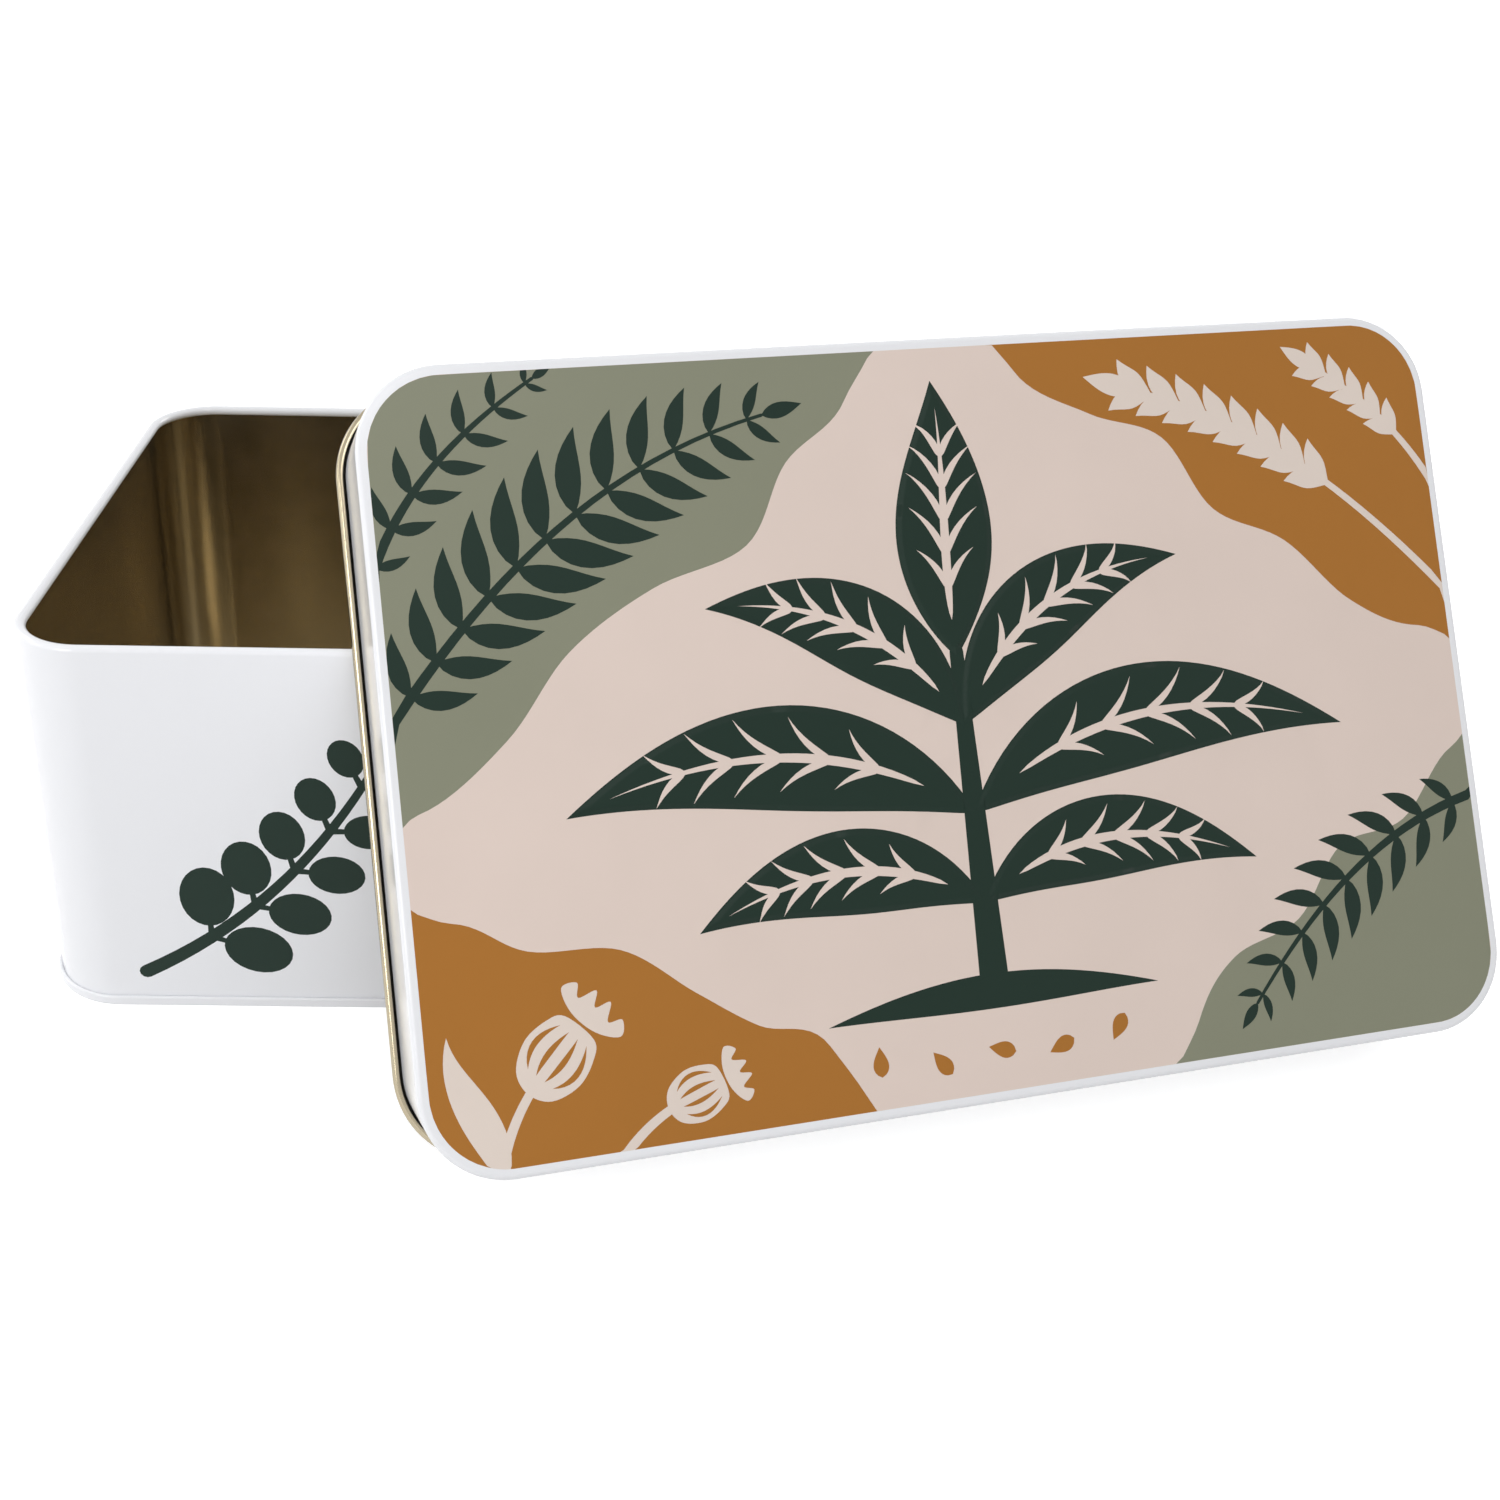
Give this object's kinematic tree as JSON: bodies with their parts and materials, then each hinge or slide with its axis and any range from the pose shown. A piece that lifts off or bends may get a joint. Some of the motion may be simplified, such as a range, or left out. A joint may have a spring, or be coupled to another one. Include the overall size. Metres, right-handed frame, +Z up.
{
  "type": "garden seed organizer box",
  "caption": "Rectangular tinplate box with rounded corners, rolled rim, folded base seam and a printed slip lid that leans on it.",
  "frame": {"origin": "centre of the box's foot, on the surface that the box stands on", "axes": "+X to the right along the box's long side, +Y to the back, +Z up; the lid leans on the rim at the front right"},
  "size_m": [0.3208, 0.2269, 0.1499],
  "materials": {
    "body_wall": "white gloss enamel outside, gold lacquer inside",
    "base_plate": "white gloss enamel outside, gold lacquer inside",
    "lid": "satin print on white enamel, gold lacquer inside"
  },
  "bodies": {
    "box": {"body_wall": "body_wall", "base_plate": "base_plate"},
    "lid": {"lid": "lid"}
  },
  "joints": [
    {"name": "lid_lift", "type": "slide", "parent": "box", "child": "lid", "axis": [0, 0, 1], "range_m": [0, 0.12]}
  ]
}
